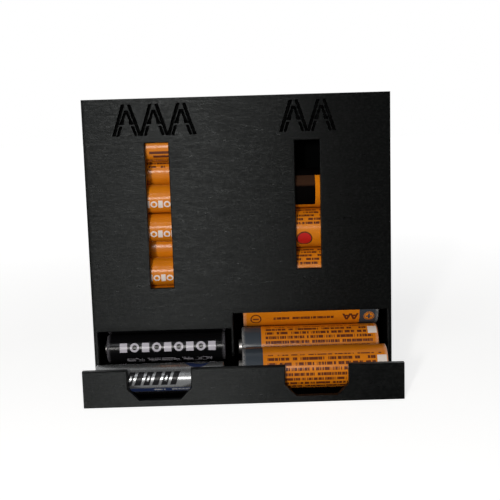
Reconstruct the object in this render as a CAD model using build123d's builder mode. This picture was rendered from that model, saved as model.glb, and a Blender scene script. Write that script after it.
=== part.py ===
from build123d import *
from math import cos, radians, sin, sqrt, tan
import os

# A two-lane gravity dispenser for AAA and AA cells, standing on its floor plate.
# +X is to the right, +Y is towards the back, +Z is up; the origin is under the middle of the case.

# case; its width follows from the lanes
case_height = 102.2
floor_thickness = 2.1
side_thickness = 1.6
back_thickness = 2.0
panel_thickness = 2.0
divider_thickness = 1.0
divider_foot_height = 10.9  # where its front edge ends, above the table
lane_depth = 17.7
edge_break = 0.3
back_corner_radius = 1.5

# pick-up tray in front of the panel
tray_depth = 26.3
lip_thickness = 2.2
lip_height = 12.5
notch_width = 21.2
notch_bevel = 3.7

# openings in the front panel
aaa_mouth_top = 19.6
aa_mouth_top = 25.1
aaa_window_width = 8.2
aaa_window_bottom = 35.0
aaa_window_top = 86.8
aa_window_width = 8.8
aa_window_bottom = 40.7
aa_window_top = 86.3

# ramps that lead each lane out into the tray
ramp_angle = 18.0
ramp_back_radius = 4.0
ramp_toe = 1.6  # how far each ramp reaches in front of the panel

# cells
jacket_corner = 0.5  # where the jacket is rolled over both ends
aaa_diameter = 10.3
aaa_body_length = 43.5
aaa_nub_diameter = 3.8
aaa_nub_height = 1.0
aa_diameter = 14.3
aa_body_length = 49.2
aa_nub_diameter = 5.4
aa_nub_height = 1.3

# clearances
cell_gap = 0.2  # between two cells that lie on each other
wall_gap = 0.3  # between a cell and a wall of its lane
seat_gap = 0.15  # under a cell that lies on the floor or a ramp
aaa_end_play = 3.45  # how much wider each lane is than a cell is long
aa_end_play = 4.85

# how each lane is filled, from the mouth up: 0 leans on the panel, 1 leans on the back wall
aaa_mouth_depth = 7.1  # the axis of the cell in the mouth, behind the panel's back face
aaa_lean = [0.845, 0, 0, 1, 0, 0, 0.75, 0]
aaa_shift = [-0.7, -0.6, 0.5, -0.3, 0.8, -0.8, 0.4, 0.9, -0.5, 0.2]
aaa_direction = [-1, -1, 1, -1, -1, 1, -1, -1, -1, 1]
aa_mouth_depth = 2.4
aa_lean = [0, 0, 0, 0]
aa_shift = [-0.8, -0.9, 1.1, -0.4, 0.6, 1.2]
aa_direction = [-1, -1, 1, -1, -1, -1]

# places that follow from the sizes above
case_depth = tray_depth + panel_thickness + lane_depth + back_thickness
tray_front = -case_depth / 2
panel_front = tray_front + tray_depth
panel_back = panel_front + panel_thickness
back_wall = panel_back + lane_depth
aaa_lane_width = aaa_body_length + aaa_nub_height + aaa_end_play
aa_lane_width = aa_body_length + aa_nub_height + aa_end_play
case_width = 2 * side_thickness + aaa_lane_width + divider_thickness + aa_lane_width
lane_right = case_width / 2 - side_thickness
aaa_lane = (-lane_right, -lane_right + aaa_lane_width)
aa_lane = (lane_right - aa_lane_width, lane_right)
divider_left = aaa_lane[1]


def lane_centre(lane):
    return (lane[0] + lane[1]) / 2


def lane_width(lane):
    return lane[1] - lane[0]


def ramp_height(y):
    """Height of a ramp's top surface at y."""
    return floor_thickness + (y - panel_front + ramp_toe) * tan(radians(ramp_angle))


def cell_places(diameter, mouth_depth, leans):
    """(y, z) of each cell's axis: the one in the tray, the one in the mouth, then up the lane."""
    radius = diameter / 2
    places = [(tray_front + lip_thickness + wall_gap + radius, floor_thickness + seat_gap + radius)]
    y = panel_back + mouth_depth
    z = ramp_height(y) + (radius + seat_gap) / cos(radians(ramp_angle))
    places.append((y, z))
    for lean in leans:
        front_y = panel_back + wall_gap + radius
        play = lane_depth - diameter - 2 * wall_gap
        next_y = front_y + lean * play
        z += sqrt((diameter + cell_gap) ** 2 - (next_y - y) ** 2)
        y = next_y
        places.append((y, z))
    return places


os.makedirs("parts", exist_ok=True)

# Floor plate with the lip that holds the cells in the tray. A notch in front of each lane lets a
# finger tip a cell out.
with BuildPart() as base_tray:
    with BuildSketch(Plane.XY):
        Rectangle(case_width, case_depth)
    extrude(amount=floor_thickness)
    with BuildSketch(Plane.XZ.offset(-tray_front)):
        with Locations((0, lip_height / 2)):
            Rectangle(case_width, lip_height)
    extrude(amount=-lip_thickness)
    with BuildSketch(Plane.XZ.offset(-tray_front)):
        for lane in (aaa_lane, aa_lane):
            left = lane_centre(lane) - notch_width / 2
            right = lane_centre(lane) + notch_width / 2
            with BuildLine():
                Polyline(
                    (left, lip_height),
                    (left, floor_thickness + notch_bevel),
                    (left + notch_bevel, floor_thickness),
                    (right - notch_bevel, floor_thickness),
                    (right, floor_thickness + notch_bevel),
                    (right, lip_height),
                    close=True,
                )
            make_face()
    extrude(amount=-lip_thickness, mode=Mode.SUBTRACT)
    front_face = base_tray.faces().filter_by(Axis.Y).sort_by(Axis.Y)[0]
    chamfer(front_face.edges().filter_by(Axis.X).group_by(Axis.Z)[-1], edge_break)
    chamfer(base_tray.edges().filter_by(Axis.Z).group_by(Axis.Y)[0], edge_break)
    fillet(base_tray.edges().filter_by(Axis.Z).group_by(Axis.Y)[-1], back_corner_radius)
base_tray.part.label = "base_tray"
export_step(base_tray.part, "parts/base_tray.step")

# Back and sides of both lanes, one channel open to the front and to the top.
with BuildPart() as back_shell:
    with BuildSketch(Plane.XY.offset(floor_thickness)):
        with Locations((0, (panel_back + back_wall + back_thickness) / 2)):
            Rectangle(case_width, lane_depth + back_thickness)
        with Locations((0, (panel_back + back_wall) / 2)):
            Rectangle(2 * lane_right, lane_depth, mode=Mode.SUBTRACT)
    extrude(amount=case_height - floor_thickness)
    fillet(back_shell.edges().filter_by(Axis.Z).group_by(Axis.Y)[-1], back_corner_radius)
back_shell.part.label = "back_shell"
export_step(back_shell.part, "parts/back_shell.step")

# Front panel: a level window for each lane, and a mouth under each where the cells roll out.
with BuildPart() as front_panel:
    with BuildSketch(Plane.XZ.offset(-panel_front)):
        with Locations((0, (floor_thickness + case_height) / 2)):
            Rectangle(case_width, case_height - floor_thickness)
        for lane, top in ((aaa_lane, aaa_mouth_top), (aa_lane, aa_mouth_top)):
            with Locations((lane_centre(lane), (floor_thickness + top) / 2)):
                Rectangle(lane_width(lane), top - floor_thickness, mode=Mode.SUBTRACT)
        for lane, width, low, high in (
            (aaa_lane, aaa_window_width, aaa_window_bottom, aaa_window_top),
            (aa_lane, aa_window_width, aa_window_bottom, aa_window_top),
        ):
            with Locations((lane_centre(lane), (low + high) / 2)):
                Rectangle(width, high - low, mode=Mode.SUBTRACT)
    extrude(amount=-panel_thickness)
    # The strip between the mouths stops short of the floor, bevelled like the divider behind it.
    with BuildSketch(Plane.YZ.offset(divider_left)):
        with BuildLine():
            Polyline(
                (panel_front, floor_thickness),
                (panel_front, divider_foot_height),
                (panel_back, divider_foot_height - panel_thickness),
                (panel_back, floor_thickness),
                close=True,
            )
        make_face()
    extrude(amount=divider_thickness, mode=Mode.SUBTRACT)
    rim = front_panel.faces().filter_by(Axis.Y).sort_by(Axis.Y)[0].outer_wire().edges()
    sides = rim.filter_by(Axis.Z).group_by(Axis.X)
    chamfer(sides[0] + sides[-1] + rim.filter_by(Axis.X).group_by(Axis.Z)[-1], edge_break)
front_panel.part.label = "front_panel"
export_step(front_panel.part, "parts/front_panel.step")

# Wall between the lanes. Its front foot is bevelled back, so that it stands clear of the tray.
with BuildPart() as divider:
    with BuildSketch(Plane.YZ.offset(divider_left)):
        with BuildLine():
            Polyline(
                (panel_back, divider_foot_height - panel_thickness),
                (panel_back, case_height),
                (back_wall, case_height),
                (back_wall, floor_thickness),
                (panel_front + divider_foot_height - floor_thickness, floor_thickness),
                close=True,
            )
        make_face()
    extrude(amount=divider_thickness)
divider.part.label = "divider"
export_step(divider.part, "parts/divider.step")

# Ramps: a straight slope that runs up the back wall in an arc, so that a cell can't wedge there.
slope_top = ramp_height(back_wall)
tangent_length = ramp_back_radius * tan(radians(90 - ramp_angle) / 2)
slope_end = back_wall - tangent_length * cos(radians(ramp_angle))
for name, lane in (("aaa_ramp", aaa_lane), ("aa_ramp", aa_lane)):
    with BuildPart() as ramp:
        with BuildSketch(Plane.YZ.offset(lane[0])):
            with BuildLine():
                slope = Line((panel_front - ramp_toe, floor_thickness), (slope_end, ramp_height(slope_end)))
                sweep_up = TangentArc(slope @ 1, (back_wall, slope_top + tangent_length), tangent=slope % 1)
                Polyline(sweep_up @ 1, (back_wall, floor_thickness), slope @ 0)
            make_face()
        extrude(amount=lane_width(lane))
    ramp.part.label = name
    export_step(ramp.part, f"parts/{name}.step")


def make_cell(name, place, x, direction, diameter, body_length, nub_diameter, nub_height):
    """A cell lying along X: its jacketed can, with the nub at the end that direction points to."""
    total_length = body_length + nub_height
    radius = diameter / 2
    plane = Plane(
        origin=(x - direction * total_length / 2, place[0], place[1]),
        x_dir=(direction, 0, 0),
        z_dir=(0, -direction, 0),
    )
    with BuildPart() as cell:
        with BuildSketch(plane):
            with BuildLine():
                Polyline(
                    (0, 0),
                    (0, radius - jacket_corner),
                    (jacket_corner, radius),
                    (body_length - jacket_corner, radius),
                    (body_length, radius - jacket_corner),
                    (body_length, nub_diameter / 2),
                    (total_length, nub_diameter / 2),
                    (total_length, 0),
                    close=True,
                )
            make_face()
        revolve(axis=Axis(plane.origin, plane.x_dir))
    cell.part.label = name
    export_step(cell.part, f"parts/{name}.step")


aaa_places = cell_places(aaa_diameter, aaa_mouth_depth, aaa_lean)
for number, (place, shift, direction) in enumerate(zip(aaa_places, aaa_shift, aaa_direction), 1):
    make_cell(
        f"aaa_cell_{number}", place, lane_centre(aaa_lane) + shift, direction, aaa_diameter,
        aaa_body_length, aaa_nub_diameter, aaa_nub_height,
    )

aa_places = cell_places(aa_diameter, aa_mouth_depth, aa_lean)
for number, (place, shift, direction) in enumerate(zip(aa_places, aa_shift, aa_direction), 1):
    make_cell(
        f"aa_cell_{number}", place, lane_centre(aa_lane) + shift, direction, aa_diameter,
        aa_body_length, aa_nub_diameter, aa_nub_height,
    )


def roll_facts(name, places, diameter):
    """Print how far the cell in the mouth can roll down its ramp, and how the lane above follows."""
    down, out = sin(radians(ramp_angle)), cos(radians(ramp_angle))
    (tray_y, tray_z), (y, z), (next_y, next_z) = places[:3]
    to_floor = (z - tray_z) / down
    along = (y - tray_y) * out + (z - tray_z) * down
    across = sqrt((y - tray_y) ** 2 + (z - tray_z) ** 2 - along**2)
    to_cell = along - sqrt((diameter + cell_gap) ** 2 - across**2)
    sink = down + out * (next_y - y) / (next_z - z)
    print(f"{name}: rolls {min(to_floor, to_cell):.3f} mm, next cell sinks {sink:.4f} mm for each mm")


roll_facts("aaa", aaa_places, aaa_diameter)
roll_facts("aa", aa_places, aa_diameter)
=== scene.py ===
import math

import bpy
import numpy as np
from mathutils import Matrix, Vector


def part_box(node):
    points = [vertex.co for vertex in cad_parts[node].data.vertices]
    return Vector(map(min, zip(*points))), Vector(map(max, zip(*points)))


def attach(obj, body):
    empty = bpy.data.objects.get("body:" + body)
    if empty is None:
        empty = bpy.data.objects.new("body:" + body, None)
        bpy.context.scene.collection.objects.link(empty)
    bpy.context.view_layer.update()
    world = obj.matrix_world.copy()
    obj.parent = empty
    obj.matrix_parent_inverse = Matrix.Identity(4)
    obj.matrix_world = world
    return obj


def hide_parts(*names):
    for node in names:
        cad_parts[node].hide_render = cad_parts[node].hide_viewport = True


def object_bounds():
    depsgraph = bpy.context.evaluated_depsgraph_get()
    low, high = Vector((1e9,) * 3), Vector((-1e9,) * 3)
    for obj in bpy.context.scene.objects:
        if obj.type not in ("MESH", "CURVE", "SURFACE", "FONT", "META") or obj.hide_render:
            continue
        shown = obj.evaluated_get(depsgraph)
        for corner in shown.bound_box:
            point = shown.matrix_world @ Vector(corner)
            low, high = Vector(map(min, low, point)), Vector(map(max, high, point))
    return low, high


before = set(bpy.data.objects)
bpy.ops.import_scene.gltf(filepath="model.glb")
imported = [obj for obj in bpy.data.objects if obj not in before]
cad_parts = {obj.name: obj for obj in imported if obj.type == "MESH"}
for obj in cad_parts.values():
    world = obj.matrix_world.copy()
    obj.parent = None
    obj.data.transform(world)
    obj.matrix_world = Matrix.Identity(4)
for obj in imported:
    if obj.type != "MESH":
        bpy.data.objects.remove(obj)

# Battery dispenser with two lanes: the printed case keeps its solids, and the front panel and all
# sixteen cells are worked out here in finer detail. Lengths in the dictionaries are millimetres.
mm = 0.001
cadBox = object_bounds()
scene = bpy.context.scene
print("frame loaded:", len(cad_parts), "solids")


class Value:
    # A number socket that can stand in a Python sum.

    def __init__(self, paint, socket):
        self.paint = paint
        self.socket = socket

    def calc(self, operation, *others, **settings):
        return self.paint.calc(operation, self, *others, **settings)

    def __add__(self, other): return self.calc("ADD", other)
    def __radd__(self, other): return self.calc("ADD", other)
    def __sub__(self, other): return self.calc("SUBTRACT", other)
    def __rsub__(self, other): return self.paint.calc("SUBTRACT", other, self)
    def __mul__(self, other): return self.calc("MULTIPLY", other)
    def __rmul__(self, other): return self.calc("MULTIPLY", other)
    def __truediv__(self, other): return self.calc("DIVIDE", other)
    def __abs__(self): return self.calc("ABSOLUTE")
    def below(self, other): return self.calc("LESS_THAN", other)
    def above(self, other): return self.calc("GREATER_THAN", other)
    def most(self, other): return self.calc("MAXIMUM", other)
    def wave(self): return self.calc("COSINE")
    def root(self): return self.calc("SQRT")

    def clip(self):
        return self.paint.calc("ADD", self, 0.0, clamp=True)

    def rise(self, start, end):
        # 0 at start and 1 at end, straight between them and level outside, whichever is larger.
        return ((self - start) * (1.0 / (end - start))).clip()


class Paint:
    # One material's node tree.

    def __init__(self, name, tree=None):
        if tree is None:
            self.material = bpy.data.materials.new(name)
            self.material.use_nodes = True
            tree = self.material.node_tree
        self.tree = tree
        tree.nodes.clear()

    def node(self, kind, settings=None, inputs=None):
        made = self.tree.nodes.new(kind)
        for key, setting in (settings or {}).items():
            setattr(made, key, setting)
        for key, value in (inputs or {}).items():
            self.feed(made.inputs[key], value)
        return made

    def feed(self, socket, value):
        if isinstance(value, Value):
            self.tree.links.new(value.socket, socket)
        elif isinstance(value, bpy.types.NodeSocket):
            self.tree.links.new(value, socket)
        elif isinstance(value, tuple) and len(value) == 3 and socket.type == "RGBA":
            socket.default_value = (*value, 1.0)
        else:
            socket.default_value = value

    def calc(self, operation, *values, clamp=False):
        made = self.node("ShaderNodeMath", {"operation": operation, "use_clamp": clamp},
                         {index: value for index, value in enumerate(values)})
        return Value(self, made.outputs[0])

    def split(self, vector):
        made = self.node("ShaderNodeSeparateXYZ", inputs={0: vector})
        return [Value(self, output) for output in made.outputs]

    def mix(self, factor, first, second):
        made = self.node("ShaderNodeMix", {"data_type": "RGBA"}, {0: factor, 6: first, 7: second})
        return made.outputs[2]

    def place(self):
        # Object coordinates in millimetres.
        coordinate = self.node("ShaderNodeTexCoord").outputs["Object"]
        return self.node("ShaderNodeVectorMath", {"operation": "SCALE"},
                         {0: coordinate, "Scale": 1000.0}).outputs[0]

    def stretch(self, vector, scale):
        return self.node("ShaderNodeMapping", inputs={"Vector": vector, "Scale": scale}).outputs[0]

    def noise(self, vector, scale, detail=2.0, roughness=0.5):
        made = self.node("ShaderNodeTexNoise", inputs={
            "Vector": vector, "Scale": scale, "Detail": detail, "Roughness": roughness})
        return Value(self, made.outputs["Fac"])

    def bump(self, height, distance, under=None):
        inputs = {"Height": height, "Distance": distance}
        if under is not None:
            inputs["Normal"] = under
        return self.node("ShaderNodeBump", inputs=inputs).outputs[0]

    def finish(self, inputs):
        shader = self.node("ShaderNodeBsdfPrincipled", inputs=inputs)
        self.node("ShaderNodeOutputMaterial", inputs={"Surface": shader.outputs[0]})
        return self.material


plastic = {
    "colour": (0.0022, 0.0024, 0.0024),
    "worn": (0.020, 0.021, 0.021),
    "gloss": 0.21, "trayGloss": 0.27, "tint": (0.95, 1.0, 1.0),
    "grooveShade": (0.0004, 0.0004, 0.0004), "grooveShadeGloss": 0.0,     # painted shade: the letters' grooves, darker and without gloss
    "insideShadeColour": (0.0011, 0.0012, 0.0012), "insideShadeGloss": 0.0,   # painted shade, in the lanes and the tray
    "level": (0.75, 0.9),    # how upright a face's normal is where layers give way to roads
    "layerHeight": 0.2,
    "layerSwell": 0.004,     # half the height of a bead's bulge
    "layerWander": 1.6,      # how far a bead's phase strays, in radians
    "wanderScale": (0.02, 0.02, 0.6),
    "starvedScale": (0.012, 0.012, 5.0),     # layers laid a little thin
    "roadWidth": 0.42,       # pitch of the lines on level faces
    "roadSwell": 0.8,        # their height, against a layer's
    "fineScale": 9.0, "fineHeight": 0.007,
    "rippleScale": (0.7, 0.7, 1.8), "rippleHeight": 0.030, "rippleFloor": 0.38,
    "wearReach": 0.7, "wornShare": 0.7,
    "patchScale": 0.35,
    "speckScale": (0.9, 0.9, 1.5), "speckShare": 0.30, "patchShare": 0.10, "starvedShare": 0.06,
    "roughness": 0.35,
    "unevenScale": (0.10, 0.10, 1.6),
    "unevenRough": 0.35, "rippleRough": 0.42, "patchRough": 0.05, "wornRough": 0.12,
    "ior": 1.5,
    "streak": 1.0, "streakTurn": 0.25,       # the layers smear reflections upright
    "lanes": (4.4, 22.3, 52.4, 102.1),       # front, back, half width and rim of the space inside
    "tray": (-21.9, 2.2, 1.4, 12.4),         # front, back, floor and rim of the tray's inside
}


def makePlastic(name, halfWidth, halfDepth, height, base, gloss):
    look = plastic
    paint = Paint(name)
    place = paint.place()
    x, y, z = paint.split(place)
    up = abs(paint.split(paint.node("ShaderNodeTexCoord").outputs["Normal"])[2])
    level = up.rise(*look["level"])
    # Layers: one cosine per bead, its phase a little unsteady from side to side.
    wander = paint.noise(paint.stretch(place, look["wanderScale"]), 1.0)
    turns = z * (2 * math.pi / look["layerHeight"])
    beads = (turns + wander * look["layerWander"]).wave()
    starved = paint.noise(paint.stretch(place, look["starvedScale"]), 1.0, detail=1.0)
    # Level faces: straight roads laid at 45 degrees.
    roads = ((x + y) * (2 * math.pi / (look["roadWidth"] * math.sqrt(2)))).wave()
    relief = beads * (1 - level) * (0.75 + starved * 0.5) + roads * level * look["roadSwell"]
    fine = paint.noise(place, look["fineScale"], detail=3.0)
    normal = paint.bump(relief, look["layerSwell"] * mm)
    normal = paint.bump(fine, look["fineHeight"] * mm, normal)
    ripple = paint.noise(paint.stretch(place, look["rippleScale"]), 1.0)
    normal = paint.bump(ripple, look["rippleHeight"] * mm, normal)
    # Wear: where two of the outer faces meet, broken up by noise.
    reach = look["wearReach"]
    sideways = (1 - (halfWidth - abs(x)) / reach).clip()
    endways = (1 - (halfDepth - abs(y)) / reach).clip()
    upwards = (1 - (height - z) / reach).clip()
    rim = (sideways * endways + endways * upwards + sideways * upwards).clip()
    patchy = paint.noise(place, look["patchScale"], detail=4.0, roughness=0.65)
    worn = (rim * patchy.rise(0.42, 0.68)).clip()
    # Pale specks and dust, mixed in from the worn colour.
    speck = paint.noise(paint.stretch(place, look["speckScale"]), 1.0, detail=3.0, roughness=0.65)
    dust = patchy.rise(0.55, 0.8) * look["patchShare"] + starved.rise(0.45, 0.75) * look["starvedShare"]
    dust = dust + speck.rise(0.45, 0.72) * look["speckShare"]
    colour = paint.mix((worn * look["wornShare"] + dust).clip(), base, look["worn"])
    uneven = paint.noise(paint.stretch(place, look["unevenScale"]), 1.0, detail=3.0, roughness=0.7)
    roughness = look["roughness"] + (uneven - 0.5) * look["unevenRough"]
    roughness = roughness + (ripple.most(look["rippleFloor"]) - 0.5) * look["rippleRough"]
    roughness = roughness + patchy * look["patchRough"] + worn * look["wornRough"]
    shaders = []
    for shown, specular in ((colour, gloss), (look["insideShadeColour"], look["insideShadeGloss"])):
        shaders.append(paint.node("ShaderNodeBsdfPrincipled", inputs={
            "Base Color": shown, "Roughness": roughness, "Normal": normal, "IOR": look["ior"],
            "Specular IOR Level": specular, "Specular Tint": look["tint"],
            "Anisotropic": look["streak"], "Anisotropic Rotation": look["streakTurn"]}).outputs[0])
    # Inside the lanes and the tray a second shader, darker and without gloss, stands for the
    # light that doesn't arrive there.
    frontY, backY, sideX, rimZ = look["lanes"]
    inside = y.above(frontY) * y.below(backY) * z.below(rimZ)
    frontY, backY, floorZ, rimZ = look["tray"]
    inTray = y.above(frontY) * y.below(backY) * z.above(floorZ) * z.below(rimZ)
    inside = inside.most(inTray) * abs(x).below(sideX)
    both = paint.node("ShaderNodeMixShader", inputs={0: inside, 1: shaders[0], 2: shaders[1]})
    paint.node("ShaderNodeOutputMaterial", inputs={"Surface": both.outputs[0]})
    return paint.material


caseReach = tuple(reach / mm for reach in cadBox[1])     # half width, half depth and height
printedPlastic = makePlastic("printedPlastic", *caseReach, plastic["colour"], plastic["gloss"])
trayPlastic = makePlastic("trayPlastic", *caseReach, plastic["colour"], plastic["trayGloss"])
# The letters' grooves get a darker plastic without gloss: painted shade, for the light that doesn't reach
# into them.
grooveShadePlastic = makePlastic("grooveShadePlastic", *caseReach, plastic["grooveShade"],
                              plastic["grooveShadeGloss"])
for name in ("base_tray", "back_shell", "divider", "aaa_ramp", "aa_ramp"):
    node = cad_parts[name]
    node.data.materials.clear()
    node.data.materials.append(trayPlastic if name == "base_tray" else printedPlastic)
print("plastic on the carried-over solids")


def putMesh(name, points, faces, materials, faceMaterials, sharp, uv=None):
    # A mesh object at the origin from whole arrays: points (n, 3) in mm and faces as loop arrays.
    loops, starts, totals = faces
    mesh = bpy.data.meshes.new(name)
    mesh.vertices.add(len(points))
    mesh.vertices.foreach_set("co", np.asarray(points, np.float32).ravel() * mm)
    mesh.loops.add(len(loops))
    mesh.loops.foreach_set("vertex_index", loops.astype(np.int32))
    mesh.polygons.add(len(starts))
    mesh.polygons.foreach_set("loop_start", starts.astype(np.int32))
    mesh.polygons.foreach_set("loop_total", totals.astype(np.int32))
    for material in materials:
        mesh.materials.append(material)
    mesh.polygons.foreach_set("material_index", faceMaterials.astype(np.int32))
    if uv is not None:
        layer = mesh.uv_layers.new(name="printMap")
        layer.data.foreach_set("uv", np.asarray(uv, np.float32).ravel())
    mesh.polygons.foreach_set("use_smooth", np.ones(len(starts), bool))
    mesh.update(calc_edges=True)
    mesh.validate()
    mesh.set_sharp_from_angle(angle=math.radians(sharp))
    made = bpy.data.objects.new(name, mesh)
    scene.collection.objects.link(made)
    return made


def quads(corners):
    # Loop arrays for an (n, 4) array of corner indices.
    count = len(corners)
    return corners.ravel(), np.arange(count) * 4, np.full(count, 4)


panel = {
    "holes": [               # left, right, bottom, top of each opening
        (-52.15, -4.2, 0.0, 19.6), (-3.2, 52.15, 0.0, 25.1),
        (-32.275, -24.075, 35.0, 86.8), (20.075, 28.875, 40.7, 86.3),
    ],
    "legSpan": (-4.2, -3.2),
    "legFoot": (10.9, 8.9),  # its lower end at the front face and at the back face
    "edgeRadius": 0.3,
    "edgeSteps": (0, 0.12, 0.34, 0.66, 1),   # grid lines over an edge, in shares of its radius
    "letterPitch": 0.15,     # grid across the letters
    "layerPitch": 0.2,       # grid up the letters, one row a layer
    "coarsePitch": 4.0,
    "letterMargin": (0.3, 0.2),              # fine grid past the letters, sideways and upright
    "mergeGap": 0.025,       # grid lines closer than this become one
    "sharpAngle": 28,
}

lettering = {
    "apexes": (-38.2, -28.7, -19.1, 20.0, 29.6),
    "top": 100.2, "bottom": 89.3,
    "outerLine": (1.02, 4.60), "outerHalf": 0.54,    # a leg's outer groove, from the letter's axis
    "innerLine": (-0.51, 3.15), "innerHalf": 0.46,   # and its inner one, each at the top and bottom
    "innerTop": (0.19, 0.21),                        # shares of the way down, where the inner one starts
    "flare": 0.30, "flareRun": 1.6,                  # how far its end widens, and over what height
    "bar": (92.6, 93.4),                             # the gap that stands for the crossbar
    "depth": 1.25, "wall": 0.12,
    "shadedFrom": 0.12,                              # share of the depth past which a face takes the painted groove shade
}


def ramp(value, start, end):
    # (value - start) / (end - start), held between 0 and 1.
    return np.clip((value - start) / (end - start), 0, 1)


def grooveDepth(x, z):
    # Depth of the engraving. With t the share of the way down, each leg is two grooves that
    # run straight from their place at the top to their place at the bottom, either side of a
    # line left standing, and the depth depends on the distance to each groove's middle.
    letter = lettering
    t = (letter["top"] - z) / (letter["top"] - letter["bottom"])
    outerMiddle = np.interp(t, (0, 1), letter["outerLine"])
    innerMiddle = np.interp(t, (0, 1), letter["innerLine"])
    wall = letter["wall"]
    inside = ramp(z, letter["bottom"], letter["bottom"] + wall) * ramp(letter["top"] - z, 0, wall)
    low, high = letter["bar"]
    offBar = 1 - ramp(z, low - wall, low) * ramp(high + wall - z, 0, wall)
    flare = letter["flare"] * ramp(high + letter["flareRun"] - z, 0, letter["flareRun"]) * (z > low)
    depth = np.zeros_like(x)
    for apex in letter["apexes"]:
        away = np.abs(x - apex)
        outer = ramp(letter["outerHalf"] - np.abs(away - outerMiddle), 0, wall)
        inner = ramp(letter["innerHalf"] + flare - np.abs(away - innerMiddle), 0, wall)
        inner = inner * offBar * ramp(t, *letter["innerTop"])
        depth = np.maximum(depth, np.maximum(outer, inner) * inside)
    return depth * letter["depth"]


def gridLines(low, high, edges, fineRanges, finePitch):
    # Sorted grid lines: every edge with its rounding steps, fine runs, and a coarse fill.
    lines = [low, high]
    for edge in edges:
        lines += [edge + side * panel["edgeRadius"] * step
                  for step in panel["edgeSteps"] for side in (-1, 1)]
    for start, end in fineRanges:
        lines += list(np.arange(start, end + finePitch / 2, finePitch))
    lines = np.unique(np.round([line for line in lines if low <= line <= high], 4))
    keep = [lines[0]]
    fixed = set(np.round([low, high, *edges], 4))
    for line in lines[1:]:
        close = line - keep[-1] <= panel["mergeGap"]
        if not close or line in fixed:
            if close and keep[-1] not in fixed:
                keep.pop()
            keep.append(line)
    filled = [keep[0]]
    for line in keep[1:]:
        steps = max(1, math.ceil((line - filled[-1]) / panel["coarsePitch"]))
        filled += list(np.linspace(filled[-1], line, steps + 1)[1:])
    return np.array(filled)


def makePanel():
    # Front y = low y + edge rounding + engraving, with rounding = radius - sqrt(radius^2 - inset^2)
    # and inset = radius less the distance to the nearest edge; the back is level.
    low, high = (np.array(corner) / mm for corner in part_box("front_panel"))
    radius = panel["edgeRadius"]
    letter = lettering
    marginX, marginZ = panel["letterMargin"]
    reach = letter["outerLine"][1] + letter["outerHalf"] + marginX
    words = [(letter["apexes"][first] - reach, letter["apexes"][last] + reach)
             for first, last in ((0, 2), (3, 4))]
    edgesX = [low[0], high[0]] + [edge for hole in panel["holes"] for edge in hole[:2]]
    edgesZ = [high[2], panel["legFoot"][0]] + [edge for hole in panel["holes"] for edge in hole[2:]]
    xs = gridLines(low[0], high[0], edgesX, words, panel["letterPitch"])
    zs = gridLines(low[2], high[2], edgesZ,
                   [(letter["bottom"] - marginZ, letter["top"] + marginZ)], panel["layerPitch"])
    x, z = np.meshgrid(xs, zs, indexing="ij")
    # Distance from each grid point to the nearest edge of the front face.
    edge = np.minimum(np.minimum(x - low[0], high[0] - x), high[2] - z)
    for left, right, bottom, top in panel["holes"]:
        gap = np.hypot(np.maximum(np.maximum(left - x, x - right), 0),
                       np.maximum(np.maximum(bottom - z, z - top), 0))
        edge = np.minimum(edge, gap)
    inset = np.clip(radius - edge, 0, radius)
    drop = radius - np.sqrt(radius**2 - inset**2)
    depth = grooveDepth(x, z)
    front = np.stack([x, low[1] + drop + depth, z], -1)
    backZ = z.copy()
    legLeft, legRight = panel["legSpan"]
    footFront, footBack = panel["legFoot"]
    # Below the first full row the leg's back face carries on down to its own foot.
    onLeg = (x > legLeft - 0.001) & (x < legRight + 0.001)
    backZ[onLeg & (np.abs(z - footFront) < 0.001)] = footBack
    back = np.stack([x, np.full_like(x, high[1]), backZ], -1)
    # A grid cell is solid unless its middle lies in an opening.
    midX = (x[:-1, :-1] + x[1:, 1:]) / 2
    midZ = (z[:-1, :-1] + z[1:, 1:]) / 2
    solid = np.ones_like(midX, bool)
    for left, right, bottom, top in panel["holes"]:
        solid &= ~((midX > left) & (midX < right) & (midZ > bottom) & (midZ < top))
    solid &= ~((midX > legLeft) & (midX < legRight) & (midZ < footFront))
    nz = len(zs)
    index = np.arange(len(xs) * nz).reshape(len(xs), nz)
    count = index.size
    a, b, c, d = index[:-1, :-1], index[1:, :-1], index[1:, 1:], index[:-1, 1:]
    faces = [np.stack([a, b, c, d], -1)[solid], np.stack([a, d, c, b], -1)[solid] + count]
    depths = [depth[:-1, :-1], depth[1:, :-1], depth[1:, 1:], depth[:-1, 1:]]
    sunk = np.stack(depths).mean(0)[solid]
    # Walls where a solid cell has no solid neighbour on that side.
    padded = np.pad(solid, 1)
    for firstCorner, secondCorner, neighbour in (
        (a, b, padded[1:-1, :-2]), (b, c, padded[2:, 1:-1]),
        (c, d, padded[1:-1, 2:]), (d, a, padded[:-2, 1:-1]),
    ):
        bare = solid & ~neighbour
        first, second = firstCorner[bare], secondCorner[bare]
        faces.append(np.stack([second, first, first + count, second + count], -1))
    corners = np.concatenate(faces)
    points = np.concatenate([front.reshape(-1, 3), back.reshape(-1, 3)])
    # Faces deep in the letters take the second material, the painted groove shade.
    grooveShade = np.zeros(len(corners), int)
    grooveShade[:len(sunk)] = sunk > letter["depth"] * letter["shadedFrom"]
    used, corners = np.unique(corners, return_inverse=True)
    return putMesh("frontPanel", points[used], quads(corners.reshape(-1, 4)),
                   [printedPlastic, grooveShadePlastic], grooveShade, panel["sharpAngle"])


frontPanel = makePanel()
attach(frontPanel, "case")
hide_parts("front_panel")
print("front panel:", len(frontPanel.data.polygons), "faces")


steel = {
    "colour": (0.60, 0.585, 0.56), "stained": (0.36, 0.34, 0.32), "stain": 0.6,
    "roughness": 0.26, "scratchRough": 0.16, "cloudRough": 0.12,
    "scratchScale": (6.0, 0.6, 0.9), "scratchHeight": 0.01,
}


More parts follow.
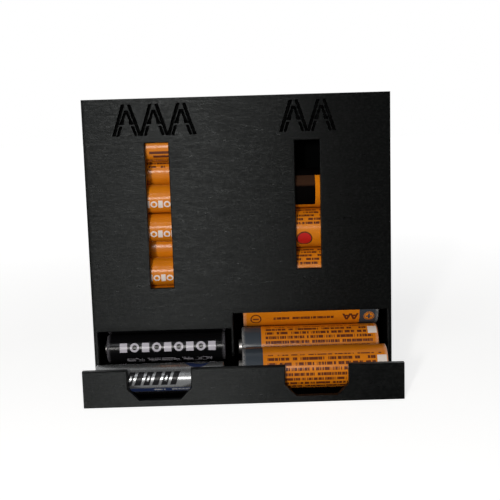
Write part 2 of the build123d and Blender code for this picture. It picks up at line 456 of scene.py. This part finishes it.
def makeSteel():
    paint = Paint("nickelSteel")
    place = paint.place()
    scratch = paint.noise(paint.stretch(place, steel["scratchScale"]), 3.0, detail=3.0)
    cloud = paint.noise(place, 0.5, detail=3.0)
    colour = paint.mix(cloud.rise(0.45, 0.75) * steel["stain"], steel["colour"], steel["stained"])
    roughness = steel["roughness"] + scratch * steel["scratchRough"]
    roughness = roughness + cloud.rise(0.4, 0.8) * steel["cloudRough"]
    return paint.finish({"Base Color": colour, "Metallic": 1.0, "Roughness": roughness,
                         "Normal": paint.bump(scratch, steel["scratchHeight"] * mm)})


nickelSteel = makeSteel()

orange = {
    "colour": (0.57, 0.172, 0.005), "deep": (0.49, 0.138, 0.004),
    # Print colours, and paintedGlare, a brownish painted reflection on the top cell's dark print.
    "band": (0.034, 0.042, 0.052), "ink": (0.060, 0.012, 0.008), "white": (0.66, 0.62, 0.58),
    "spot": (0.43, 0.012, 0.010), "panel": (0.0018, 0.0014, 0.0014), "paintedGlare": (0.030, 0.014, 0.008),
    "printed": (("spot", 1.0), ("ink", 0.92), ("white", 0.9), ("panel", 1.0), ("paintedGlare", 1.0)),
    "deepShare": 0.7, "scuffShare": 0.45,
    "badgeTurn": (8.0, 19.0),                # how far round the badge lies, on AAA and AA
    # The top cell's film has no gloss; a painted reflection stands in for the glare on it.
    "roughness": 0.21, "gloss": 0.42, "darkGloss": 0.0,
}


mapLength = 100.0            # millimetres along a cell that one unit of its UV map stands for

jacket = {
    "rolledEnd": (1.4, 0.2),                 # from either end, where scuffs begin and are full
    "legShare": 0.55, "barAt": 0.32,         # a size letter's sloping strokes and its crossbar
    "strokeScale": 2.6, "strokeLimit": 0.42,             # fine print: strokes within words
    "wordScale": 0.55, "wordLimit": 0.37,
    "rowSteps": (7.3, 5.1), "wordSeed": 40.0,            # keep its rows unlike each other
    "ragged": 6.0, "raggedScale": 0.01,                  # how uneven the rows' ends are
    "rowFill": (0.18, 0.78),                             # the share of a row that strokes fill
}


class Film:
    # Where a point lies on a cell's jacket: along from the flat end, and round from its front.

    def __init__(self, paint, radius, length):
        self.paint = paint
        self.length = length
        uv = paint.node("ShaderNodeUVMap", {"uv_map": "printMap"}).outputs[0]
        u, v = paint.split(uv)[:2]
        self.along = u * mapLength
        self.round = (v - 0.5) * (2 * math.pi * radius)

    def box(self, along, around, halfLength, halfHeight):
        across = (abs(self.along - along)).below(halfLength)
        return across * (abs(self.round - around)).below(halfHeight)

    def disc(self, along, around, radius):
        a, b = self.along - along, self.round - around
        return (a * a + b * b).below(radius * radius)

    def ring(self, along, around, radius, width):
        a, b = self.along - along, self.round - around
        return abs((a * a + b * b).root() - radius).below(width / 2)

    def plus(self, along, around, size, width):
        return self.box(along, around, size, width / 2).most(self.box(along, around, width / 2, size))

    def letterA(self, along, around, height, width, stroke):
        # Two sloping strokes and a crossbar; the letter reads along the cell.
        t = (self.round - around) / height + 0.5
        lean = (1 - t) * (width / 2)
        legs = abs(abs(self.along - along) - lean).below(stroke * jacket["legShare"])
        bar = (abs(self.along - along)).below(lean)
        bar = bar * abs(t - jacket["barAt"]).below(stroke / height / 2)
        inside = t.above(0.0) * t.below(1.0)
        return legs.most(bar) * inside

    def finePrint(self, start, end, low, high, pitch, seed):
        # Rows of unreadable strokes, one row each pitch, from low to high.
        row = self.round * (1.0 / pitch)
        number = row.calc("FLOOR")
        height = row - number
        strokeStep, wordStep = jacket["rowSteps"]
        spot = self.paint.node("ShaderNodeCombineXYZ", inputs={
            0: self.along * jacket["strokeScale"], 1: number * strokeStep + seed}).outputs[0]
        word = self.paint.node("ShaderNodeCombineXYZ", inputs={
            0: self.along * jacket["wordScale"],
            1: number * wordStep + seed + jacket["wordSeed"]}).outputs[0]
        strokes = self.paint.noise(spot, 1.0, detail=1.0).above(jacket["strokeLimit"])
        words = self.paint.noise(word, 1.0, detail=0.0).above(jacket["wordLimit"])
        ragged = self.paint.noise(word, jacket["raggedScale"] / jacket["wordScale"], detail=0.0)
        inside = self.along.above(start) * (self.along + ragged * jacket["ragged"]).below(end)
        inside = inside * self.round.above(low) * self.round.below(high)
        bottom, top = jacket["rowFill"]
        return strokes * words * inside * height.above(bottom) * height.below(top)

    def ends(self):
        # 1 where the jacket is rolled over either end.
        begin, full = jacket["rolledEnd"]
        farEnd = self.along.rise(self.length - begin, self.length - full)
        return self.along.rise(begin, full).most(farEnd)

    def wrinkles(self, place, height):
        # A bump that is longer along the cell than round it.
        return self.paint.bump(self.paint.noise(self.paint.stretch(place, (0.5, 1.5, 1.5)), 1.0),
                               height * mm)


def makeOrange(name, radius, length, bandLength, marks, gloss=orange["gloss"]):
    paint = Paint(name)
    place = paint.place()
    film = Film(paint, radius, length)
    cloud = paint.noise(place, 0.25, detail=3.0)
    grain = paint.noise(place, 5.0, detail=2.0)
    colour = paint.mix(cloud.rise(0.3, 0.75) * orange["deepShare"], orange["colour"], orange["deep"])
    masks = marks(film)
    for key, share in orange["printed"]:
        if key in masks:
            colour = paint.mix(masks[key] * share, colour, orange[key])
    band = film.along.above(length - bandLength)
    colour = paint.mix(band, colour, orange["band"])
    # The plus end's badge: a disc with a plus and a ring left out of it.
    plusAt = (length - bandLength / 2, orange["badgeTurn"][radius > 6])
    plus = film.plus(*plusAt, 1.15, 0.6).most(film.ring(*plusAt, 1.62, 0.22))
    badge = film.disc(*plusAt, 1.95) * (1 - plus)
    colour = paint.mix(badge * band, colour, orange["colour"])
    # Scuffs where the jacket is rolled over both ends.
    scuff = (film.ends() * grain.rise(0.42, 0.62)).clip()
    colour = paint.mix(scuff * orange["scuffShare"], colour, orange["white"])
    wrinkle = paint.noise(paint.stretch(place, (0.5, 1.6, 1.6)), 1.0)
    roughness = orange["roughness"] + cloud * 0.08 + scuff * 0.2
    normal = paint.bump(wrinkle, 0.05 * mm)
    normal = paint.bump(grain, 0.004 * mm, normal)
    return paint.finish({"Base Color": colour, "Roughness": roughness, "Normal": normal,
                         "Specular IOR Level": gloss})


# Each of these gives masks of one kind of print, by the colour in the orange settings, and the top cell's
# a painted reflection too.
# Places are (along from the flat end, round from the front) and half sizes, in millimetres.


def windowMarks(film):
    # White rings and blocks in a row along the cell.
    blocks = film.box(13.4, 0.0, 0.8, 1.4)
    for along in (18.1, 22.8, 27.5):
        blocks = blocks.most(film.ring(along - 2.35, 0.0, 0.95, 0.55))
        blocks = blocks.most(film.box(along, 0.0, 0.8, 1.4))
    return {"white": blocks}


def printMarks(film):
    # Two thick bars of print and a row of fine print beyond them.
    bars = film.box(23.7, 7.8, 4.5, 0.5).most(film.box(24.7, 9.4, 4.2, 0.5))
    return {"ink": bars.most(film.finePrint(9.0, 38.0, 10.5, 12.0, 1.0, 2.0))}


def rowMarks(film):
    # Rows of fine print.
    return {"ink": film.finePrint(9.0, 38.0, 8.0, 12.4, 1.35, 2.0)}


def lyingMarks(film):
    # Face row: a minus in a ring, size letters and one line. Opposite: rows of print and a patch.
    face = 19.0
    ink = film.letterA(37.6, face, 2.9, 2.5, 0.75).most(film.letterA(40.3, face, 2.9, 2.5, 0.75))
    ink = ink.most(film.finePrint(11.0, 36.0, face - 0.9, face + 0.9, 1.8, 3.0))
    ink = ink.most(film.ring(4.6, face, 1.8, 0.45)).most(film.box(4.6, face, 1.1, 0.3))
    patchAt = (2.1, 5.2)
    clear = 1 - film.box(*patchAt, 2.2, 2.2)
    ink = ink.most(film.finePrint(2.2, 44.5, -9.0, 8.0, 1.8, 7.0) * clear)
    return {"ink": ink, "white": film.box(*patchAt, 1.6, 1.7)}


def stackedMarks(film):
    # Rows of print above a round red spot.
    spotAt = (27.2, -3.7)
    ink = film.finePrint(6.0, 44.0, 1.8, 9.0, 1.5, 4.0).most(film.ring(*spotAt, 2.65, 0.5))
    return {"ink": ink, "spot": film.disc(*spotAt, 2.45)}


def topMarks(film):
    # A dark print panel over the upper half and most of the front, with a brownish strip on it: a painted
    # reflection, standing for a glare.
    front = film.along.above(23.6) * film.along.below(film.length - 7.0) * film.round.above(-7.6)
    glareStrip = film.round.rise(0.0, 0.8) * film.round.below(4.3)
    return {"panel": front.most(film.round.above(4.3)), "paintedGlare": front * glareStrip}


silver = {
    "colour": (0.27, 0.275, 0.28), "dull": (0.20, 0.205, 0.21), "dullShare": 0.35,
    "blue": (0.012, 0.020, 0.060), "dark": (0.005, 0.005, 0.006),
    "firstBar": (16.6, 1.0),                 # place and half width
    "bars": (19.6, 22.6, 25.6, 28.6, 31.6), "barHalf": 1.05, "hollowBars": (19.6, 25.6, 31.6),
    "metal": 0.85, "inkMetal": 0.8,          # how metallic the film is, and how much less its print
    "roughness": 0.22, "gloss": 0.2, "wrinkleHeight": 0.025,
}


def makeSilver(radius, length):
    paint = Paint("silverFilm")
    place = paint.place()
    film = Film(paint, radius, length)
    cloud = paint.noise(place, 0.3, detail=3.0)
    grain = paint.noise(place, 6.0)
    colour = paint.mix(cloud.rise(0.35, 0.75) * silver["dullShare"], silver["colour"], silver["dull"])
    # A blue stripe and, higher up, a blue crescent: one disc less another.
    stripe = (abs(film.round + 3.6)).below(0.75)
    stripe = stripe.most(film.disc(9.0, 8.6, 4.4) * (1 - film.disc(8.0, 10.4, 4.4)))
    pale = film.finePrint(9.0, 26.0, -4.1, -3.1, 1.0, 3.0)
    lower = film.round.below(-4.5)
    # A row of slanted bars, every other one hollow.
    slant = film.along + film.round * 0.35
    row = (abs(film.round - 0.6)).below(2.3)
    hollow = (abs(film.round - 0.6)).below(0.9)
    along, half = silver["firstBar"]
    bars = (abs(slant - along)).below(half) * row
    for along in silver["bars"]:
        bars = bars.most((abs(slant - along)).below(silver["barHalf"]) * row)
    for along in silver["hollowBars"]:
        bars = bars * (1 - (abs(slant - along)).below(0.35) * hollow)
    colour = paint.mix(stripe * (1 - pale), colour, silver["blue"])
    colour = paint.mix(lower, colour, silver["dark"])
    colour = paint.mix(bars, colour, silver["dark"])
    scuff = film.ends() * grain.rise(0.4, 0.6)
    metal = (silver["metal"] - (stripe + lower + bars) * silver["inkMetal"]).clip()
    return paint.finish({
        "Base Color": colour, "Metallic": metal,
        "Roughness": silver["roughness"] + cloud * 0.1 + scuff * 0.2,
        "Specular IOR Level": silver["gloss"],
        "Normal": film.wrinkles(place, silver["wrinkleHeight"])})


black = {
    "colour": (0.003, 0.003, 0.0034), "mark": (0.46, 0.44, 0.49), "markShare": 0.9, "scuffShare": 0.3,
    "block": (1.35, 1.7),                    # half length and half height
    "blockPitch": 4.05,                      # from a ring to the next block
    "rings": (8.95, 17.05, 25.15, 33.25), "markTurn": 0.1,
    "roughness": 0.17, "gloss": 0.28, "wrinkleHeight": 0.05,
}


def makeBlack(radius, length):
    paint = Paint("blackFilm")
    place = paint.place()
    film = Film(paint, radius, length)
    cloud = paint.noise(place, 0.3, detail=3.0)
    grain = paint.noise(place, 6.0)
    # Blocks and rings by turns, with fine print below them.
    turn = black["markTurn"]
    marks = film.box(black["rings"][0] - black["blockPitch"], turn, *black["block"])
    for along in black["rings"]:
        marks = marks.most(film.ring(along, turn, 1.3, 0.8))
        marks = marks.most(film.box(along + black["blockPitch"], turn, *black["block"]))
    rows = film.finePrint(5.0, 38.5, -7.2, -4.4, 1.2, 5.0)
    colour = paint.mix(marks.most(rows) * black["markShare"], black["colour"], black["mark"])
    scuff = film.ends() * grain.rise(0.4, 0.6)
    colour = paint.mix(scuff * black["scuffShare"], colour, black["mark"])
    return paint.finish({
        "Base Color": colour, "Roughness": black["roughness"] + cloud * 0.1 + scuff * 0.25,
        "Specular IOR Level": black["gloss"],
        "Normal": film.wrinkles(place, black["wrinkleHeight"])})


cells = {
    "aaa": {"radius": 5.15, "nubRadius": 1.9, "nubHeight": 1.0, "body": 43.5, "bandLength": 6.0},
    "aa": {"radius": 7.15, "nubRadius": 2.7, "nubHeight": 1.3, "body": 49.2, "bandLength": 7.0},
    "around": 72,
    "skin": 0.01,                            # how far the jacket's ends stay inside the solid
    "rollRadius": 0.5,                       # the jacket's rounding at both ends
    "rollSteps": 7, "straightSteps": 14,
    "discEdge": 0.56, "grooveEdge": 0.68, "lipEdge": 0.76,    # of the flat end, in radii
    "nubEdge": 0.32, "nubFoot": 0.3,         # radii at the nub's top and foot
    "sharpAngle": 40,
}


def arc(centre, radius, start, end, steps):
    # centre + radius * (cos a, sin a), for angles a from start to end in degrees.
    angle = np.radians(np.linspace(start, end, steps))
    return np.stack([centre[0] + radius * np.cos(angle), centre[1] + radius * np.sin(angle)], -1)


def cellProfile(radius, body, nubRadius, nubHeight):
    # (along, radius) points from the flat end's middle to the nub's middle, and which are jacket.
    #
    # Flat end: a disc, a shallow ring groove, then the jacket's rolled lip. Nub end: the rolled lip,
    # a sunk ring round the nub, and the nub with its edge rounded.
    size = cells
    roll, skin, r = size["rollRadius"], size["skin"], radius
    discEdge, grooveEdge, lipEdge = (size[key] * r for key in ("discEdge", "grooveEdge", "lipEdge"))
    flat = np.array([
        (0.04, 0.0), (0.04, 0.25 * r), (0.04, discEdge - 0.1), (0.07, discEdge),
        (0.26, discEdge + 0.12), (0.30, discEdge + 0.25), (0.30, grooveEdge),
        (0.16, lipEdge - 0.04)])
    lip = np.array([
        (0.10, lipEdge), (0.03, lipEdge + 0.08), (skin, lipEdge + 0.2), (skin, r - roll - 0.1)])
    rollIn = arc((skin + roll, r - roll), roll, 180, 90, size["rollSteps"])
    steps = size["straightSteps"]
    straight = np.stack([np.linspace(roll + 0.2, body - roll - 0.2, steps), np.full(steps, r)], -1)
    end = body - skin
    rollOut = arc((end - roll, r - roll), roll, 90, 0, size["rollSteps"])
    lipOut = np.array([
        (end, r - roll - 0.1), (end, lipEdge + 0.2), (end - 0.02, lipEdge + 0.08),
        (end - 0.1, lipEdge)])
    nubTop = body + nubHeight - 0.005
    foot = nubRadius + 0.55
    plate = np.array([
        (end - 0.2, lipEdge - 0.04), (end - 0.34, lipEdge - 0.2), (end - 0.34, foot + 0.5),
        (end - 0.22, foot + 0.25), (end - 0.16, foot)])
    fillet, edge = size["nubFoot"], size["nubEdge"]
    footFillet = arc((end - 0.16 + fillet, nubRadius + 0.28), fillet, 180, 250, 5)
    wall = np.array([(end + 0.25, nubRadius), (nubTop - edge - 0.05, nubRadius)])
    nubEdge = arc((nubTop - edge, nubRadius - edge), edge, 90, 0, 6)
    top = np.array([(nubTop, nubRadius * 0.5), (nubTop, 0.0)])
    film = (lip, rollIn, straight, rollOut, lipOut)
    metal = (plate, footFillet, wall, nubEdge, top)
    points = np.concatenate([flat, *film, *metal])
    covered = np.zeros(len(points) - 1, bool)
    covered[len(flat):len(flat) + sum(map(len, film)) - 1] = True
    return points, covered


def makeCell(name, kind, direction, turn, film):
    # The profile turned about the cell's axis: y = cy - r cos(angle), z = cz + r sin(angle).
    low, high = (np.array(corner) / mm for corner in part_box(name))
    centre = (low + high) / 2
    size = cells[kind]
    profile, covered = cellProfile((high[2] - low[2]) / 2, size["body"], size["nubRadius"],
                                   size["nubHeight"])
    start = low[0] if direction > 0 else high[0]
    around = cells["around"]
    angle = math.radians(turn) + (np.arange(around) / around - 0.5) * 2 * np.pi
    along, r = profile[1:-1, 0][:, None], profile[1:-1, 1][:, None]
    ring = np.stack([np.broadcast_to(start + direction * along, (len(along), around)),
                     centre[1] - r * np.cos(angle), centre[2] + r * np.sin(angle)], -1)
    poles = [(start + direction * profile[end, 0], centre[1], centre[2]) for end in (0, -1)]
    points = np.concatenate([ring.reshape(-1, 3), poles])
    # Quads between neighbouring rings, then a fan of triangles at each pole.
    rows = len(along)
    i, j = np.meshgrid(np.arange(rows - 1), np.arange(around), indexing="ij")
    nextJ = (j + 1) % around
    body = np.stack([i * around + j, (i + 1) * around + j,
                     (i + 1) * around + nextJ, i * around + nextJ], -1).reshape(-1, 4)
    k = np.arange(around)
    nextK = (k + 1) % around
    poleA, poleB, last = rows * around, rows * around + 1, (rows - 1) * around
    fans = np.concatenate([np.stack([np.full(around, poleA), k, nextK], -1),
                           np.stack([np.full(around, poleB), last + nextK, last + k], -1)])
    # UV map: u is the place along the cell, v the share of a turn.
    near, far = profile[1 + i, 0], profile[2 + i, 0]
    bodyU = np.stack([near, far, far, near], -1)
    bodyV = np.stack([j, j, j + 1, j + 1], -1) / around
    fanU = np.repeat(profile[[0, -1], 0], around)[:, None] * np.ones(3)
    fanV = np.concatenate([np.stack([k + 0.5, k, k + 1], -1),
                           np.stack([k + 0.5, k + 1, k], -1)]) / around
    if direction > 0:
        bodyV, fanV = 1 - bodyV, 1 - fanV
    else:
        body, fans = body[:, ::-1], fans[:, ::-1]
        bodyU, bodyV, fanU, fanV = (part[..., ::-1] for part in (bodyU, bodyV, fanU, fanV))
    uv = np.stack([np.concatenate([bodyU.ravel(), fanU.ravel()]) / mapLength,
                   np.concatenate([bodyV.ravel(), fanV.ravel()])], -1)
    loops = np.concatenate([body.ravel(), fans.ravel()])
    totals = np.concatenate([np.full(len(body), 4), np.full(len(fans), 3)])
    starts = np.concatenate([[0], np.cumsum(totals)[:-1]])
    faceMaterials = np.concatenate([np.where(np.repeat(covered[1:-1], around), 0, 1),
                                    np.ones(len(fans))])
    return putMesh(name + "Skin", points, (loops, starts, totals), [film, nickelSteel],
                   faceMaterials, cells["sharpAngle"], uv)


def orangeFilm(name, kind, marks, gloss=orange["gloss"]):
    size = cells[kind]
    return makeOrange(name, size["radius"], size["body"], size["bandLength"], marks, gloss)


orangeWindow = orangeFilm("orangeFilmWindow", "aaa", windowMarks)
orangePrint = orangeFilm("orangeFilmPrint", "aaa", printMarks)
orangeRows = orangeFilm("orangeFilmRows", "aaa", rowMarks)
orangeLying = orangeFilm("orangeFilmLying", "aa", lyingMarks)
orangeStacked = orangeFilm("orangeFilmStacked", "aa", stackedMarks)
# The top cell's film has no gloss; a painted reflection stands in for its glare.
orangeTop = orangeFilm("orangeFilmTop", "aa", topMarks, orange["darkGloss"])
silverFilm = makeSilver(cells["aaa"]["radius"], cells["aaa"]["body"])
blackFilm = makeBlack(cells["aaa"]["radius"], cells["aaa"]["body"])

# By cell: which way the nub points, its turn about its axis in degrees, its film and its slot.
filling = {
    "aaa_cell_1": (-1, 10, silverFilm, "silver_cell"),
    "aaa_cell_2": (-1, 14, blackFilm, "black_cell"),
    # This cell is mostly hidden; it takes the black film, dark like the band that shows where it lies.
    "aaa_cell_3": (1, 200, blackFilm, "black_cell"),
    "aaa_cell_4": (-1, 75, orangePrint, "orange_cell"),
    "aaa_cell_5": (-1, -20, orangeWindow, "orange_cell"),
    "aaa_cell_6": (1, 200, orangePrint, "orange_cell"),
    "aaa_cell_7": (-1, -21, orangeWindow, "orange_cell"),
    "aaa_cell_8": (-1, -19, orangeWindow, "orange_cell"),
    "aaa_cell_9": (-1, -72, orangeRows, "orange_cell"),
    "aaa_cell_10": (1, 67, orangePrint, "orange_cell"),
    "aa_cell_1": (-1, -12, orangeLying, "orange_cell"),
    "aa_cell_2": (-1, 16, orangeLying, "orange_cell"),
    "aa_cell_3": (1, 124, orangeLying, "orange_cell"),
    "aa_cell_4": (-1, 2, orangeStacked, "orange_cell"),
    "aa_cell_5": (-1, 2, orangeStacked, "orange_cell"),
    "aa_cell_6": (-1, 8, orangeTop, "orange_cell"),
}

for name, (direction, turn, film, slotName) in filling.items():
    kind = name.split("_")[0]
    cell = makeCell(name, kind, direction, turn, film)
    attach(cell, name)
    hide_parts(name)
print("cells:", len(filling))


studio = {
    "floorSize": 6.0, "floorColour": (0.66, 0.66, 0.65), "clothColour": (0.62, 0.62, 0.61),
    "clothShare": 0.3, "floorRoughness": 0.9, "floorGloss": 0.1,
    "nearGlow": 0.76, "farGlow": 1.0,        # the floor's own white, as the camera sees it
    "glowReach": (0.12, 0.55),               # distances from the object between the two
    "key": {"place": (-0.072, -0.60, 0.16), "size": (0.18, 0.08), "power": 1.1,
            "colour": (1.0, 0.98, 0.95)},
    "side": {"place": (-0.14, -0.60, 0.15), "size": (0.03, 0.05), "power": 2.0,
             "colour": (1.0, 0.98, 0.95), "inGloss": False},
    "fill": {"place": (-0.25, -0.62, 0.60), "size": (0.30, 0.20), "power": 0.55,
             "colour": (0.96, 0.98, 1.0)},
    "aim": (0.0, 0.0, 0.05),
    "roomLight": 0.08,
    # What gloss sees: the white background behind the object, and a dimmer room in front of it, which
    # glows, only in reflections, brighter left of the middle: a painted reflection that puts the sheen on
    # the case's front.
    "behind": (-0.15, 0.35),                 # sine of the direction, from all front to all behind
    "bright": 0.50, "dim": 0.04,
    "cardEdge": (-0.005, 0.032),             # where it turns dim, to the right of the middle
    "cardFade": (-0.015, -0.060), "fadeShare": 0.25,     # and fades a little to the left
    "cardDistance": 0.314, "cardTop": (0.0, 0.12),
}


def cardGlow(across):
    # dim + (bright - dim) * left of the edge * (1 - fade), from how far right of the middle it lies.
    bright, dim = studio["bright"], studio["dim"]
    leftOfEdge = 1 - across.rise(*studio["cardEdge"])
    return dim + (bright - dim) * leftOfEdge * (1 - studio["fadeShare"] * across.rise(*studio["cardFade"]))


def mirrorRays(paint, rays):
    return Value(paint, rays["Is Glossy Ray"]).most(Value(paint, rays["Is Transmission Ray"]))


def makeFloor():
    half = studio["floorSize"] / 2
    mesh = bpy.data.meshes.new("floor")
    corners = [(-half, -half, 0), (half, -half, 0), (half, half, 0), (-half, half, 0)]
    mesh.from_pydata(corners, [], [(0, 1, 2, 3)])
    floor = bpy.data.objects.new("floor", mesh)
    scene.collection.objects.link(floor)
    paint = Paint("paleFloor")
    x, y = paint.split(paint.node("ShaderNodeTexCoord").outputs["Object"])[:2]
    away = (x * x + y * y).root()
    rays = paint.node("ShaderNodeLightPath").outputs
    behind = (y / away.most(0.01)).rise(*studio["behind"])
    # The card stands at cardDistance, so points further to the front are drawn in towards it.
    reach = (0.0 - y).most(0.0) * (1 / studio["cardDistance"]) + 1.0
    card = cardGlow(x / reach)
    near, far = studio["nearGlow"], studio["farGlow"]
    glow = near + (far - near) * away.rise(*studio["glowReach"])
    cloth = paint.noise(paint.place(), 0.4, detail=3.0)
    colour = paint.mix(cloth * studio["clothShare"], studio["floorColour"], studio["clothColour"])
    shader = paint.node("ShaderNodeBsdfPrincipled", inputs={
        "Base Color": colour, "Roughness": studio["floorRoughness"],
        "Specular IOR Level": studio["floorGloss"]})
    white = (1.0, 1.0, 1.0)
    light = paint.node("ShaderNodeEmission", inputs={
        "Color": white, "Strength": glow * Value(paint, rays["Is Camera Ray"])})
    both = paint.node("ShaderNodeAddShader", inputs={0: shader.outputs[0], 1: light.outputs[0]})
    # Painted reflection: glossy and transmission rays see the floor as a glow, bright to the left of the
    # middle and dim to the right.
    reflected = paint.node("ShaderNodeEmission", inputs={
        "Color": white, "Strength": behind * glow + (1 - behind) * card})
    shown = paint.node("ShaderNodeMixShader", inputs={
        0: mirrorRays(paint, rays), 1: both.outputs[0], 2: reflected.outputs[0]})
    paint.node("ShaderNodeOutputMaterial", inputs={"Surface": shown.outputs[0]})
    mesh.materials.append(paint.material)


def makeWorld():
    world = bpy.data.worlds.new("studioRoom")
    world.use_nodes = True
    scene.world = world
    paint = Paint("room", world.node_tree)
    rays = paint.node("ShaderNodeLightPath").outputs
    camera = Value(paint, rays["Is Camera Ray"])
    generated = paint.node("ShaderNodeTexCoord").outputs["Generated"]
    acrossRoom, alongRoom, upRoom = paint.split(generated)
    behind = alongRoom.rise(*studio["behind"])
    # The same painted reflection in the world, low and in front.
    card = cardGlow(studio["cardDistance"] * acrossRoom / (0.0 - alongRoom).most(0.05))
    low = 1 - upRoom.rise(*studio["cardTop"])
    front = studio["dim"] + (card - studio["dim"]) * low
    seen = mirrorRays(paint, rays) * (behind + (1 - behind) * front)
    strength = camera.most(seen).most(studio["roomLight"])
    shader = paint.node("ShaderNodeBackground", inputs={"Color": (1.0, 1.0, 1.0), "Strength": strength})
    paint.node("ShaderNodeOutputWorld", inputs={"Surface": shader.outputs[0]})


def addLamp(name, place, size, power, colour, inGloss=True):
    data = bpy.data.lights.new(name, "AREA")
    data.shape = "RECTANGLE"
    data.size, data.size_y = size
    data.energy = power
    data.color = colour
    lamp = bpy.data.objects.new(name, data)
    lamp.location = place
    lamp.visible_glossy = inGloss
    towards = Vector(studio["aim"]) - Vector(place)
    lamp.rotation_euler = towards.to_track_quat("-Z", "Y").to_euler()
    scene.collection.objects.link(lamp)


makeFloor()
makeWorld()
for name in ("key", "side", "fill"):
    addLamp(name, **studio[name])

view = {
    "place": (0.00190, -0.31389, 0.09545),
    "yaw": 0.005, "pitch": 0.149, "roll": -0.029,        # radians: right, down and anticlockwise
    "lens": 64.745, "sensor": 36, "nearest": 0.01,
}


def makeCamera():
    # Looks along (sin yaw cos pitch, cos yaw cos pitch, -sin pitch), then rolls about that line.
    yaw, pitch, roll = view["yaw"], view["pitch"], view["roll"]
    level = math.cos(pitch)
    forward = Vector((math.sin(yaw) * level, math.cos(yaw) * level, -math.sin(pitch)))
    right = Vector((math.cos(yaw), -math.sin(yaw), 0))
    upward = right.cross(forward)
    across = math.cos(roll) * right + math.sin(roll) * upward
    above = -math.sin(roll) * right + math.cos(roll) * upward
    data = bpy.data.cameras.new("camera")
    data.lens = view["lens"]
    data.sensor_width = view["sensor"]
    data.clip_start = view["nearest"]
    camera = bpy.data.objects.new("camera", data)
    turned = Matrix((across, above, -forward)).transposed().to_4x4()
    camera.matrix_world = Matrix.Translation(view["place"]) @ turned
    scene.collection.objects.link(camera)
    scene.camera = camera


makeCamera()
scene.view_settings.view_transform = "Standard"
print("floor, lamps and camera in place")
